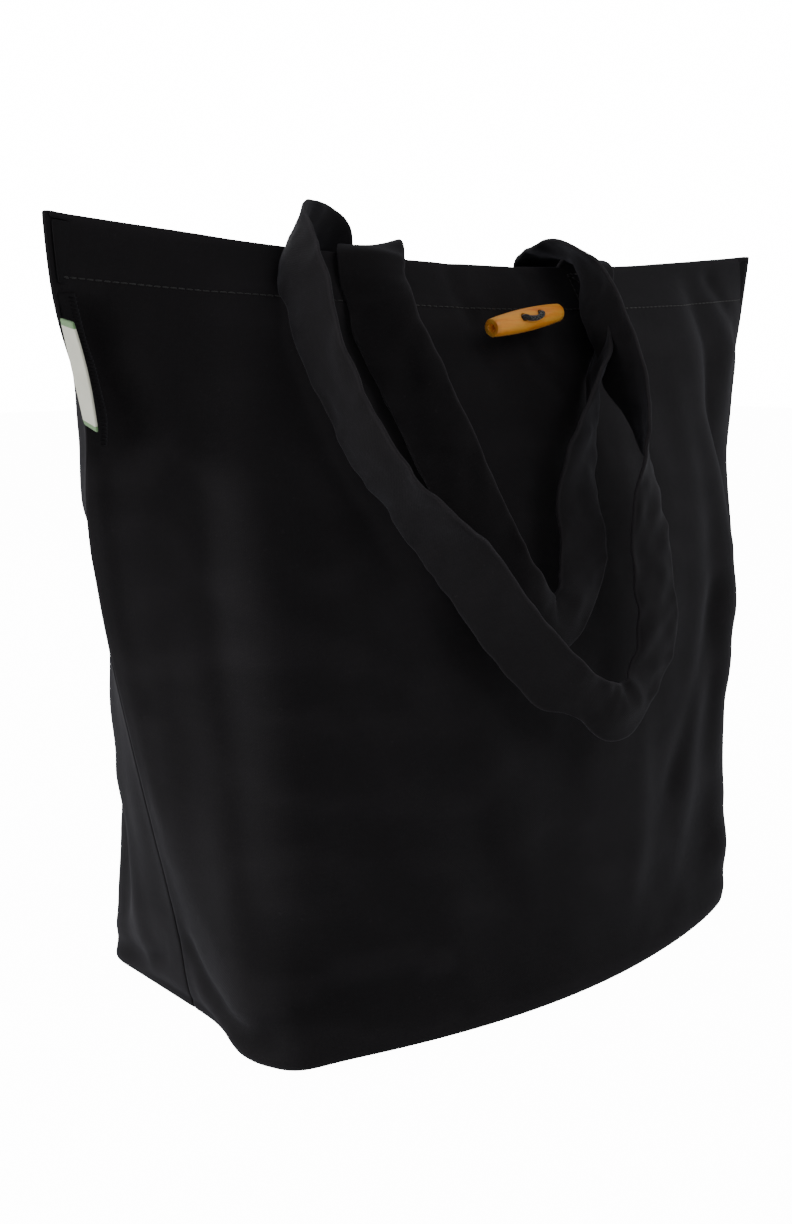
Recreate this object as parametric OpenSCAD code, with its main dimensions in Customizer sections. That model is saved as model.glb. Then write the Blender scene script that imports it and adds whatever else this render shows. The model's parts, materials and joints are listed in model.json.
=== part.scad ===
// Canvas tote bag with a boxed base, two webbing handles and a toggle closure.
// Millimetres. The origin is the middle of the base, +Z is up and the toggle side faces -Y.

/* [Bag body] */
// Width of the base, from side to side
base_w = 305; // [290:1:315]
// Depth of the base, from front to back
base_d = 161; // [150:1:170]
// Width of the mouth, from side seam to side seam
mouth_w = 460; // [450:1:470]
// Height of the mouth's corners above the floor
bag_h = 365; // [355:1:375]
// How far the middle of the mouth sags below its corners
mouth_sag = 13; // [8:1:18]
// How far the mouth leans forwards of the base
lean = 24; // [18:1:28]
// How far the panels belly outwards at mid-height
belly = 21; // [15:1:25]
// Outward bow of the base's front edge
front_bow = 23; // [15:1:25]
// Outward bow of the base's back edge
back_bow = 9; // [5:1:12]
// Outward bow of the mouth's front edge
mouth_front_bow = 10; // [8:1:12]
// Outward bow of the mouth's back edge
mouth_back_bow = 28; // [25:1:31]

/* [Cloth and seams] */
// Thickness of the panels' canvas
cloth = 1.5; // [1.2:0.1:1.6]
// Thickness of the turned-in hem layer
hem_t = 1.2; // [1:0.1:1.3]
// Height of the hem round the mouth
hem_h = 26; // [24:1:30]
// Width of the seam allowances inside
seam_w = 8; // [6:1:9]

/* [Handles] */
// Distance from the middle of the bag to the middle of each handle end
handle_x = 70; // [66:1:74]
// Width of the handle webbing
strap_w = 30; // [26:1:32]
// Thickness of the handle webbing
strap_t = 2.2; // [1.8:0.1:2.4]

/* [Toggle] */
// Length of the wooden toggle
toggle_l = 50; // [46:1:54]
// Diameter of the toggle at its middle
toggle_d = 11; // [10.5:0.1:12]
// Diameter of the toggle at its ends
toggle_end_d = 8.5; // [8:0.1:9]
// Distance between the toggle's two cord holes
hole_gap = 12.5; // [11.5:0.1:13.5]
// Diameter of the cord
cord_d = 2.6; // [2.2:0.1:2.8]
// Tilt of the toggle at rest, right end up
toggle_tilt = 10; // [0:1:12]

/* [Label] */
// How far the side label stands out of the seam
label_w = 20; // [15:1:22]
// Length of the side label along the seam
label_l = 43; // [38:1:45]

/* [Hidden] */

gap = 0.1;                            // air between neighbouring layers
outline = base_w + base_d;            // half of the base's outline, seam to seam
half_d = base_d / 2;
seam_push = 3;                        // the side seams stand out a little at the base
corner_r = 18;                        // softness of the base's corners
columns = 40;                         // grid of a whole panel
rows = 11;                            // rows below the hem
hem_rows = 3;                         // rows in the hem, shared by the panel and the hem layer
hem_start = 1 - hem_h / bag_h;        // height of the hem's lower edge, as a share of the bag's
double_layer = cloth + hem_t + 2 * gap;

canvas_black = [0.11, 0.105, 0.115];
hem_black = [0.15, 0.145, 0.155];
thread_black = [0.2, 0.2, 0.21];
strap_black = [0.13, 0.125, 0.135];
toggle_wood = [0.85, 0.55, 0.28];
label_cream = [0.9, 0.9, 0.84];

// ---- shape of the walls ----
// u runs from the left seam (0) to the right seam (1), t from the floor (0) to the mouth (1)

// Base outline at the distance s from the left seam, front half
function base_raw(s, bow) =
    s < half_d ? [-base_w / 2 - seam_push * (1 - pow(s / half_d, 2)), -s]
    : s < half_d + base_w ?
        let (x = s - half_d - base_w / 2) [x, -half_d - bow * (1 - pow(2 * x / base_w, 2))]
    : let (r = outline - s) [base_w / 2 + seam_push * (1 - pow(r / half_d, 2)), -r];

// The same with soft corners: a weighted mean over neighbouring points
taps = [1, 2, 3, 4, 3, 2, 1];
function base_tap(s, bow, k) = base_raw(s + (k - 3) * corner_r / 3, bow) * taps[k] / 16;
function base_pt(u, bow) = let (s = u * outline)
    base_tap(s, bow, 0) + base_tap(s, bow, 1) + base_tap(s, bow, 2) + base_tap(s, bow, 3)
    + base_tap(s, bow, 4) + base_tap(s, bow, 5) + base_tap(s, bow, 6);

function unit(v) = v / norm(v);
function outwards(a, b) = unit([b.y - a.y, a.x - b.x]);
function base_normal(u, bow) = outwards(base_pt(u - 0.01, bow), base_pt(u + 0.01, bow));
function swell(t) = belly * pow(t, 1.5) * (1 - t) / 0.177;

// A point of the front half of a section, before the bag's lean
function section_pt(u, t, bow, mouth_bow) =
    let (b = base_pt(u, bow), n = base_normal(u, bow), k = swell(t) * (0.35 + 0.65 * abs(n.y)))
    [
        b.x * (1 - t) + (u - 0.5) * mouth_w * t + n.x * k,
        b.y * (1 - t) - mouth_bow * sin(180 * u) * t + n.y * k
    ];
function section_normal(u, t, bow, mouth_bow) =
    outwards(
        section_pt(max(u - 0.004, 0), t, bow, mouth_bow),
        section_pt(min(u + 0.004, 1), t, bow, mouth_bow)
    );
function bow_of(side) = side < 0 ? front_bow : back_bow;
function mouth_bow_of(side) = side < 0 ? mouth_front_bow : mouth_back_bow;
function height(u, t) = bag_h * t - mouth_sag * sin(180 * u) * pow(t, 4);

// A point of the front (side -1) or back (side 1) wall, depth mm inside its outer face
function wall_pt(side, u, t, depth) =
    let (
        p = section_pt(u, t, bow_of(side), mouth_bow_of(side)),
        n = section_normal(u, t, bow_of(side), mouth_bow_of(side)),
        n0 = section_normal(0, t, bow_of(side), mouth_bow_of(side)),
        seam_shift = gap + double_layer * abs(n0.y)
    )
    [
        p.x - n.x * depth,
        side * (seam_shift - p.y + n.y * depth) - lean * t,
        height(u, t)
    ];

// ---- building blocks ----

// A closed solid between two grids of points of the same size
module sheet_solid(outer, inner) {
    nr = len(outer);
    nc = len(outer[0]);
    points = [for (g = [outer, inner]) for (r = g) for (p = r) p];
    function at(layer, r, c) = layer * nr * nc + r * nc + c;
    function quad(a, b, c, d) = [[a, b, c], [a, c, d]];
    faces = [
        for (r = [0 : nr - 2]) for (c = [0 : nc - 2])
            each quad(at(0, r, c), at(0, r + 1, c), at(0, r + 1, c + 1), at(0, r, c + 1)),
        for (r = [0 : nr - 2]) for (c = [0 : nc - 2])
            each quad(at(1, r, c), at(1, r, c + 1), at(1, r + 1, c + 1), at(1, r + 1, c)),
        for (c = [0 : nc - 2])
            each quad(at(0, 0, c), at(0, 0, c + 1), at(1, 0, c + 1), at(1, 0, c)),
        for (c = [0 : nc - 2])
            each quad(at(0, nr - 1, c + 1), at(0, nr - 1, c), at(1, nr - 1, c), at(1, nr - 1, c + 1)),
        for (r = [0 : nr - 2])
            each quad(at(0, r + 1, 0), at(0, r, 0), at(1, r, 0), at(1, r + 1, 0)),
        for (r = [0 : nr - 2])
            each quad(at(0, r, nc - 1), at(0, r + 1, nc - 1), at(1, r + 1, nc - 1), at(1, r, nc - 1))
    ];
    polyhedron(points, faces, convexity = 8);
}

// Grids for the back are listed from right to left, so that both sides face outwards alike
function across(side, c, n, from, to) =
    side < 0 ? from + (to - from) * c / n : to - (to - from) * c / n;

// A layer of cloth on a wall, between two depths, u from a to b and t from low to high
module wall_layer(side, a, b, low, high, depth_out, depth_in, nc, nr) {
    function grid(depth) = [
        for (r = [0 : nr]) [
            for (c = [0 : nc])
                wall_pt(side, across(side, c, nc, a, b), low + (high - low) * r / nr, depth)
        ]
    ];
    sheet_solid(grid(depth_out), grid(depth_in));
}

panel_heights = [
    for (r = [1 : rows]) hem_start * r / rows,
    for (r = [1 : hem_rows]) hem_start + (1 - hem_start) * r / hem_rows
];

// A whole panel: half of the base, then the wall up to the mouth
module panel(side) {
    inset = 25;
    function centre_pt(u, z) = [(u - 0.5) * (base_w - 2 * inset), side * gap, z];
    function on_floor(u, depth) = let (p = wall_pt(side, u, 0, depth)) [p.x, p.y, depth];
    function grid(depth) = [
        [for (c = [0 : columns]) centre_pt(across(side, c, columns, 0, 1), depth)],
        [for (c = [0 : columns]) on_floor(across(side, c, columns, 0, 1), depth)],
        for (t = panel_heights)
            [for (c = [0 : columns]) wall_pt(side, across(side, c, columns, 0, 1), t, depth)]
    ];
    sheet_solid(grid(0), grid(cloth));
}

module hem(side)
    wall_layer(side, 0, 1, hem_start, 1, cloth + gap, cloth + gap + hem_t, columns, hem_rows);

// A row of thread on the outer face, just above the hem's lower edge
module hem_stitching(side) {
    lift = 0.2;
    thread = 0.5;
    end = 1 / columns;                    // the row stops short of the side seams
    low = hem_start + 2 / bag_h;
    high = low + 0.8 / bag_h;
    wall_layer(side, end, 1 - end, low, high, -lift - thread, -lift, columns - 2, 1);
}

// The overlocked allowance of a side seam, inside the bag and below the hem
module side_seam(u) {
    dir = u < 0.5 ? 1 : -1;
    half = 0.5;
    low = 0.05;
    high = hem_start - 0.01;
    steps = 10;
    function seam_x(t) = wall_pt(-1, u, t, 0).x + dir * (cloth + 0.4);
    function edge(w, y) = [
        for (r = [0 : steps]) let (t = low + (high - low) * r / steps)
            [seam_x(t) + dir * w, -lean * t + y, height(u, t)]
    ];
    a = edge(0, -dir * half);
    b = edge(seam_w, -dir * half);
    c = edge(seam_w, dir * half);
    d = edge(0, dir * half);
    sheet_solid([for (r = [0 : steps]) [a[r], b[r]]], [for (r = [0 : steps]) [d[r], c[r]]]);
}

// A straight allowance that stands on the base, length along y turned by angle
module base_seam(length, angle)
    rotate([0, 0, angle]) translate([-0.6, -length / 2, cloth + gap]) cube([1.2, length, seam_w]);

// The ends of a handle, sewn flat to the inner face of the hem
module handle_tails(side) {
    half_u = strap_w / 2 / mouth_w;
    depth = double_layer;
    for (x = [-handle_x, handle_x]) {
        u = 0.5 + x / mouth_w;
        wall_layer(side, u - half_u, u + half_u, hem_start + 0.004, 0.998, depth, depth + strap_t, 4, 3);
    }
}

// Box of stitching with a cross, laid on the hem's outer face over a handle end
module tack(side, x) {
    w = 22;
    h = 17;
    thread = 1;
    u = 0.5 + x / mouth_w;
    p = wall_pt(side, u, hem_start + 0.55 * (1 - hem_start), -0.5);
    q = wall_pt(side, u, 1, -0.5);
    slope = atan2(side * (p.y - q.y), q.z - p.z);
    turn = atan2(
        wall_pt(side, u + 0.02, 1, 0).y - wall_pt(side, u - 0.02, 1, 0).y,
        0.04 * mouth_w
    );
    diagonal = sqrt(pow(w - thread, 2) + pow(h - thread, 2));
    translate(p) rotate([0, 0, turn + (side < 0 ? 0 : 180)]) rotate([90 - slope, 0, 0])
        linear_extrude(height = 0.5) {
            difference() {
                square([w, h], center = true);
                square([w - 2 * thread, h - 2 * thread], center = true);
            }
            for (m = [-1, 1])
                rotate(m * atan2(h - thread, w - thread)) square([diagonal, thread], center = true);
        }
}

// Smooth curve through a list of points (Catmull-Rom), n steps between neighbours
function curve_pt(p, i, w) =
    let (
        a = p[max(i - 1, 0)],
        b = p[i],
        c = p[min(i + 1, len(p) - 1)],
        d = p[min(i + 2, len(p) - 1)]
    )
    (2 * b + (c - a) * w + (2 * a - 5 * b + 4 * c - d) * w * w
        + (3 * b - a - 3 * c + d) * w * w * w) / 2;
function curve(p, n) =
    concat([for (i = [0 : len(p) - 2]) for (k = [0 : n - 1]) curve_pt(p, i, k / n)], [p[len(p) - 1]]);

// Flat webbing along a route of [x, y, z, angle of its width from +X towards +Z]
module webbing(route) {
    path = curve(route, 3);
    n = len(path);
    function place(i) = [path[i].x, path[i].y, path[i].z];
    function along(i) = unit(place(min(i + 1, n - 1)) - place(max(i - 1, 0)));
    function wide(i) = let (s = [cos(path[i][3]), 0, sin(path[i][3])], g = along(i))
        unit(s - (s * g) * g);
    function face(i) = cross(along(i), wide(i));
    function row(i, out) = [
        for (m = [-1, 0, 1]) place(i) + wide(i) * m * strap_w / 2 + face(i) * out * strap_t / 2
    ];
    sheet_solid([for (i = [n - 1 : -1 : 0]) row(i, 1)], [for (i = [n - 1 : -1 : 0]) row(i, -1)]);
}

// Round cord along a route of points, with 8 sides
module round_cord(route, steps) {
    path = curve(route, steps);
    n = len(path);
    sides = 8;
    function along(i) = unit(path[min(i + 1, n - 1)] - path[max(i - 1, 0)]);
    function ring(i, up) = let (g = along(i), a = unit(cross(up, g)), b = cross(g, a))
        [for (k = [0 : sides - 1]) path[i] + (a * cos(360 * k / sides) + b * sin(360 * k / sides)) * cord_d / 2];
    rings = [for (i = [0 : n - 1]) each ring(i, [0, 1, 0])];
    polyhedron(
        rings,
        [
            [for (k = [0 : sides - 1]) k],
            for (i = [0 : n - 2]) for (k = [0 : sides - 1]) each [
                [i * sides + k, (i + 1) * sides + k, (i + 1) * sides + (k + 1) % sides],
                [i * sides + k, (i + 1) * sides + (k + 1) % sides, i * sides + (k + 1) % sides]
            ],
            [for (k = [sides - 1 : -1 : 0]) (n - 1) * sides + k]
        ],
        convexity = 6
    );
}

// ---- routes ----

front_top = wall_pt(-1, 0.5 - handle_x / mouth_w, 1, 0).z;
lift_z = front_top + 4;               // both handles' hinge lines pass this far up
front_lift_y = wall_pt(-1, 0.5 - handle_x / mouth_w, 1, cloth).y;
back_lift_y = wall_pt(1, 0.5 - handle_x / mouth_w, 1, cloth).y;

// The front handle folds over the hem and hangs against the front panel
front_route = [
    [-handle_x, front_lift_y, lift_z, 0], [-handle_x, -37, 359, 0], [-72, -43, 356, 0],
    [-76, -50, 341, 0], [-80, -59, 323, 0], [-77, -67, 303, 12], [-71, -77, 280, 18],
    [-65, -87, 255, 20], [-57, -95, 228, 28], [-44, -102, 203, 50], [-22, -105, 187, 90],
    [-3, -103, 198, 130], [4, -99, 222, 172], [8, -92, 245, 168], [20, -86, 265, 155],
    [34, -77, 290, 155], [48, -68, 310, 155], [60, -56, 328, 170], [68, -46, 345, 180],
    [71, -41, 356, 180], [handle_x, -37, 359, 180], [handle_x, front_lift_y, lift_z, 180]
];

// The back handle flips over the mouth and hangs in front of the other one
back_route = [
    [-handle_x, back_lift_y, lift_z, 0], [-72, -8, 367, 0], [-82, -19, 375, 0],
    [-98, -34, 373, 0], [-113, -46, 363, 0], [-122, -53, 348, 0], [-127, -62, 328, 0],
    [-126, -71, 308, 8], [-119, -80, 288, 20], [-110, -88, 266, 28], [-96, -96, 243, 34],
    [-80, -103, 220, 38], [-60, -109, 195, 42], [-36, -114, 169, 46], [-12, -117, 148, 58],
    [12, -119, 138, 90], [34, -119, 148, 135], [44, -119, 170, 172], [43, -117, 195, 182],
    [42, -113, 222, 180], [43, -106, 250, 176], [46, -98, 279, 172], [52, -87, 305, 170],
    [58, -74, 328, 175], [60, -61, 346, 180], [62, -49, 360, 180], [67, -33, 368, 180],
    [70, -16, 367, 180], [handle_x, back_lift_y, lift_z, 180]
];

// ---- toggle, knot and loop places ----

toggle_t = 0.905;                     // just below the hem
toggle_out = 11;                      // from the panel's face to the toggle's middle
toggle_at = wall_pt(-1, 0.5, toggle_t, 0);
toggle_above = wall_pt(-1, 0.5, toggle_t + 0.03, 0);
toggle_below = wall_pt(-1, 0.5, toggle_t - 0.03, 0);
toggle_slope = atan2(toggle_above.y - toggle_below.y, toggle_above.z - toggle_below.z);

// Local frame of the toggle: x along the mouth, z straight out of the panel
module on_front() translate(toggle_at) rotate([90 - toggle_slope, 0, 0]) children();

loop_at = wall_pt(1, 0.5, 1, double_layer) + [0, -3.4, -7];
loop_l = 43;

// ---- the pieces ----

module front_panel() color(canvas_black) panel(-1);
module back_panel() color(canvas_black) panel(1);
module front_hem() color(hem_black) hem(-1);
module back_hem() color(hem_black) hem(1);
module front_hem_stitching() color(thread_black) hem_stitching(-1);
module back_hem_stitching() color(thread_black) hem_stitching(1);
module left_side_seam() color(thread_black) side_seam(0);
module right_side_seam() color(thread_black) side_seam(1);
module bottom_seam() color(thread_black) base_seam(base_w - 30, 90);
module left_corner_seam() color(thread_black)
    translate([-base_w / 2 + 8, 0, 0]) base_seam(base_d - 40, 0);
module right_corner_seam() color(thread_black)
    translate([base_w / 2 - 8, 0, 0]) base_seam(base_d - 40, 0);
module front_handle_tails() color(strap_black) handle_tails(-1);
module back_handle_tails() color(strap_black) handle_tails(1);
module front_left_tack() color(thread_black) tack(-1, -handle_x);
module front_right_tack() color(thread_black) tack(-1, handle_x);
module back_left_tack() color(thread_black) tack(1, -handle_x);
module back_right_tack() color(thread_black) tack(1, handle_x);
module front_handle() color(strap_black) webbing(front_route);
module back_handle() color(strap_black) webbing(back_route);

module toggle() {
    hole_r = cord_d / 2 + 0.4;
    bore_r = 1.6;
    crown = toggle_d - toggle_end_d;
    // half of the barrel's outline, an arc from end to end
    profile = [
        [0, -toggle_l / 2],
        for (i = [-8 : 8]) [toggle_d / 2 - crown / 2 * pow(i / 8, 2), toggle_l / 2 * i / 8],
        [0, toggle_l / 2]
    ];
    color(toggle_wood) on_front() rotate([0, 0, toggle_tilt]) translate([0, 0, toggle_out])
        difference() {
            rotate([0, 90, 0]) rotate_extrude($fn = 48) polygon(profile);
            for (x = [-hole_gap / 2, hole_gap / 2])
                translate([x, 0, 0]) cylinder(r = hole_r, h = 2 * toggle_d, center = true, $fn = 24);
            for (x = [-toggle_l / 2, toggle_l / 2])
                translate([x, 0, 0]) rotate([0, 90, 0]) cylinder(r = bore_r, h = 14, center = true, $fn = 24);
        }
}

// The cord comes out of the panel, through one hole, across the front and back through the other
module toggle_cord() {
    near = toggle_out - toggle_d / 2;
    far = toggle_out + toggle_d / 2;
    x = hole_gap / 2;
    color(thread_black) on_front() rotate([0, 0, toggle_tilt]) round_cord([
        [-1.8, 0, 1.3], [-2.6, 0, 2.4], [-x, 0, near], [-x, 0, toggle_out], [-x, 0, far],
        [-x + 1.2, -0.5, far + 1.5], [-2, -2, far + 2.2], [2, -2, far + 2.2],
        [x - 1.2, -0.5, far + 1.5], [x, 0, far], [x, 0, toggle_out], [x, 0, near],
        [2.6, 0, 2.4], [1.8, 0, 1.3]
    ], 3);
}

// The knot that holds the cord behind the front panel
knot_half = 3;
knot_r = 3.4;
module toggle_knot() color(thread_black) on_front()
    translate([0, 0, -cloth - knot_half - 0.4]) rotate_extrude($fn = 32)
        polygon([
            [0, -knot_half], [knot_r - 1.2, -knot_half], [knot_r, -1.6], [knot_r, 1.6],
            [knot_r - 1.2, knot_half], [0, knot_half]
        ]);

// The cord loop that the toggle goes through; it hangs inside the back of the mouth
module closure_loop() color(thread_black) translate(loop_at) round_cord([
    [-1.7, 0, 0], [-2, 0, -8], [-3.6, 0, -16], [-6.6, 0, -25], [-7.6, 0, -32], [-5.6, 0, -39],
    [0, 0, -loop_l], [5.6, 0, -39], [7.6, 0, -32], [6.6, 0, -25], [3.6, 0, -16], [2, 0, -8],
    [1.7, 0, 0]
], 3);

module closure_loop_tack() color(thread_black)
    translate(loop_at + [0, 3.3, -1.5]) rotate([90, 0, 0]) cylinder(r = 3.2, h = 1.6, $fn = 32);

// Folded label, sewn into the left side seam under the hem
module side_label() {
    low = wall_pt(-1, 0, 0.775, 0);
    high = wall_pt(-1, 0, 0.89, 0);
    seam_line = [low.x, -lean * 0.775, low.z];
    lean_x = atan2(low.x - high.x, high.z - low.z);
    lean_y = atan2(lean * 0.115, high.z - low.z);
    rest_angle = -110;
    label_start = 3;                      // clear of the seam's edge as it flips
    label_t = 0.9;
    color(label_cream) translate(seam_line) rotate([lean_y, -lean_x, 0]) rotate([0, 0, rest_angle])
        translate([label_start, -label_t / 2, 0]) cube([label_w, label_t, label_l]);
}

front_panel();
back_panel();
front_hem();
back_hem();
front_hem_stitching();
back_hem_stitching();
left_side_seam();
right_side_seam();
bottom_seam();
left_corner_seam();
right_corner_seam();
front_handle_tails();
back_handle_tails();
front_left_tack();
front_right_tack();
back_left_tack();
back_right_tack();
front_handle();
back_handle();
toggle();
toggle_cord();
toggle_knot();
closure_loop();
closure_loop_tack();
side_label();
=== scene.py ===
import json
import math

import bmesh
import bpy
import numpy as np
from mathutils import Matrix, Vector, noise


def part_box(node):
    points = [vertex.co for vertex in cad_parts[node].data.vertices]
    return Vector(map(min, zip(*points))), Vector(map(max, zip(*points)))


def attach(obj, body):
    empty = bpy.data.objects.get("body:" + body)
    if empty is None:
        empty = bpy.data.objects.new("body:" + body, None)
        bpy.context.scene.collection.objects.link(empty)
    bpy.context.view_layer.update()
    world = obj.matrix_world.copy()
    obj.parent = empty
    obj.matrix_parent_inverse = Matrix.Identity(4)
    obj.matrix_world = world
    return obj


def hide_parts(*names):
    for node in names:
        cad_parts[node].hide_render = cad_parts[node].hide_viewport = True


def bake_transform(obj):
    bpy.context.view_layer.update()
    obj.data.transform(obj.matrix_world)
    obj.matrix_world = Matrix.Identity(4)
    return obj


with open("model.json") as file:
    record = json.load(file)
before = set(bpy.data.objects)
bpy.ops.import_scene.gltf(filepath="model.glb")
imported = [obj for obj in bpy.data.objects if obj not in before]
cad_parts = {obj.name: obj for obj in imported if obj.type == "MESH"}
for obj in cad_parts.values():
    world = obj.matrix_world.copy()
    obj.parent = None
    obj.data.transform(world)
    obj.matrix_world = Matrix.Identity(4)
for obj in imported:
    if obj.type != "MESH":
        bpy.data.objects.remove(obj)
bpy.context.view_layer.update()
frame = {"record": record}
print("frame loaded")

scene = bpy.context.scene
collection = scene.collection
joints = {joint["name"]: joint for joint in frame["record"]["behaviour"]["joints"]}
sides = (-1, 1)  # front and back


def catmull(points, steps):
    # a smooth curve through points of any size
    pts = np.array(points, float)
    out = []
    for i in range(len(pts) - 1):
        a, b = pts[max(i - 1, 0)], pts[i]
        c, d = pts[i + 1], pts[min(i + 2, len(pts) - 1)]
        for k in range(steps):
            w = k / steps
            out.append((2 * b + (c - a) * w + (2 * a - 5 * b + 4 * c - d) * w ** 2
                        + (3 * b - a - 3 * c + d) * w ** 3) / 2)
    out.append(pts[-1])
    return np.array(out)


def distances(points):
    # how far along a line each of its points is
    gaps = np.linalg.norm(np.diff(points[:, :3], axis=0), axis=1)
    return np.concatenate([[0], np.cumsum(gaps)])


def resample(points, step):
    # points at even spacing along a line; extra columns are carried along
    run = distances(points)
    count = max(2, int(round(run[-1] / step)) + 1)
    at = np.linspace(0, run[-1], count)
    return np.stack([np.interp(at, run, points[:, k]) for k in range(points.shape[1])], 1)


def smoothstep(low, high, x):
    w = np.clip((x - low) / (high - low), 0, 1)
    return w * w * (3 - 2 * w)


def unit(v):
    return v / np.linalg.norm(v)


def heading(path, i):
    return unit(path[min(i + 1, len(path) - 1)] - path[max(i - 1, 0)])


def squareTo(v, axis):
    # the unit part of v that is square to an axis
    return unit(v - axis * np.dot(v, axis))


def ripple(x, y, z):
    return noise.noise(Vector((x, y, z)))


def newObject(name, bm, material, smooth=True, closed=True):
    if closed:
        bmesh.ops.recalc_face_normals(bm, faces=bm.faces)
    for face in bm.faces:
        face.smooth = smooth
    mesh = bpy.data.meshes.new(name)
    bm.to_mesh(mesh)
    bm.free()
    obj = bpy.data.objects.new(name, mesh)
    collection.objects.link(obj)
    mesh.materials.append(material)
    return obj


def clothSheet(name, grid, across, along, material):
    # an open sheet through a grid of points; across and along are its own measures in metres, for the weave
    bm = bmesh.new()
    layer = bm.loops.layers.uv.new("cloth")
    rows, cols = grid.shape[:2]
    verts = [[bm.verts.new(point) for point in row] for row in grid]
    for r in range(rows - 1):
        for c in range(cols - 1):
            corners = [(r, c), (r, c + 1), (r + 1, c + 1), (r + 1, c)]
            face = bm.faces.new([verts[a][b] for a, b in corners])
            for loop, (a, b) in zip(face.loops, corners):
                loop[layer].uv = across[b], along[a]
    return newObject(name, bm, material, closed=False)


def circle(bm, centre, a, b, radius, count):
    turns = [2 * math.pi * k / count for k in range(count)]
    return [bm.verts.new(centre + (a * math.cos(q) + b * math.sin(q)) * radius) for q in turns]


def skin(bm, rings, layer=None, weave=None):
    # joins rings of points into a closed tube; weave gives a corner's place in the cloth
    around = len(rings[0])
    for i in range(len(rings) - 1):
        for k in range(around):
            corners = [(i, k), (i, k + 1), (i + 1, k + 1), (i + 1, k)]
            face = bm.faces.new([rings[a][b % around] for a, b in corners])
            if weave:
                for loop, (a, b) in zip(face.loops, corners):
                    loop[layer].uv = weave(a, b)
    bm.faces.new(rings[0][::-1])
    bm.faces.new(rings[-1])


def thicken(obj, thickness, offset=-1):
    mod = obj.modifiers.new("thickness", "SOLIDIFY")
    mod.thickness = thickness
    mod.offset = offset


def subdivide(obj):
    mod = obj.modifiers.new("subdivision", "SUBSURF")
    mod.levels = mod.render_levels = 1


def finishedMesh(obj):
    # the mesh as its modifiers leave it
    mesh = bpy.data.meshes.new_from_object(obj.evaluated_get(bpy.context.evaluated_depsgraph_get()))
    obj.modifiers.clear()
    obj.data = mesh
    return mesh


def setEdgeTone(obj, values):
    layer = obj.data.attributes.new("edge_tone", "FLOAT", "POINT")
    layer.data.foreach_set("value", np.asarray(values, float).ravel())


def standFor(obj, node, body):
    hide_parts(node)
    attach(obj, body)


def setInputs(node, inputs):
    # sockets are linked and values are set
    for name, value in inputs.items():
        if isinstance(value, bpy.types.NodeSocket):
            node.id_data.links.new(value, node.inputs[name])
        else:
            node.inputs[name].default_value = value


def addNode(tree, kind, inputs=None, **settings):
    node = tree.nodes.new("ShaderNode" + kind)
    for name, value in settings.items():
        setattr(node, name, value)
    setInputs(node, inputs or {})
    return node


def calc(tree, operation, *values):
    return addNode(tree, "Math", dict(enumerate(values)), operation=operation).outputs[0]


def waveOf(tree, value, factor):
    return calc(tree, "SINE", calc(tree, "MULTIPLY", value, factor))


def speckle(tree, vector, scale, detail, **more):
    return addNode(tree, "TexNoise", {"Vector": vector, "Scale": scale, "Detail": detail, **more}).outputs["Fac"]


def stretched(tree, vector, scale, turn=0):
    turned = (0, math.radians(turn), 0)
    return addNode(tree, "Mapping", {"Vector": vector, "Scale": scale, "Rotation": turned}).outputs[0]


def between(tree, value, low, high):
    return addNode(tree, "MapRange", {"Value": value, "From Min": low, "From Max": high}).outputs[0]


def bumped(tree, height, strength, distance):
    return addNode(tree, "Bump", {"Height": height, "Strength": strength, "Distance": distance}).outputs["Normal"]


def blended(tree, factor, a, b):
    return addNode(tree, "Mix", {"Factor": factor, "A": a, "B": b}, data_type="RGBA").outputs["Result"]


def tinted(tree, colour, shade):
    return addNode(tree, "VectorMath", {0: colour, "Scale": shade}, operation="SCALE").outputs[0]


def clothPlace(tree):
    # a cloth's own place in metres, whole and split in two directions
    uv = addNode(tree, "UVMap", uv_map="cloth").outputs[0]
    return uv, addNode(tree, "SeparateXYZ", {0: uv}).outputs


def objectPlace(tree):
    return addNode(tree, "TexCoord").outputs["Object"]


def edgeToneOf(tree):
    return addNode(tree, "Attribute", attribute_name="edge_tone").outputs["Fac"]


def newMaterial(name):
    material = bpy.data.materials.new(name)
    material.use_nodes = True
    tree = material.node_tree
    tree.nodes.clear()
    shader = addNode(tree, "BsdfPrincipled")
    addNode(tree, "OutputMaterial", {"Surface": shader.outputs["BSDF"]})
    return material, tree, shader


weaveLook = {
    "slub": (60, 1300), "slubLift": 0.5, "crossing": 0.35, "yarn": 0.3, "rumple": 55, "rumpleLift": 4.0,
    "bump": 0.55, "patch": 9, "patchFrom": 0.32, "patchTo": 0.68, "shade": 0.78, "lint": 420, "lintLift": 0.5,
    "roughness": 0.78,
}


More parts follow.
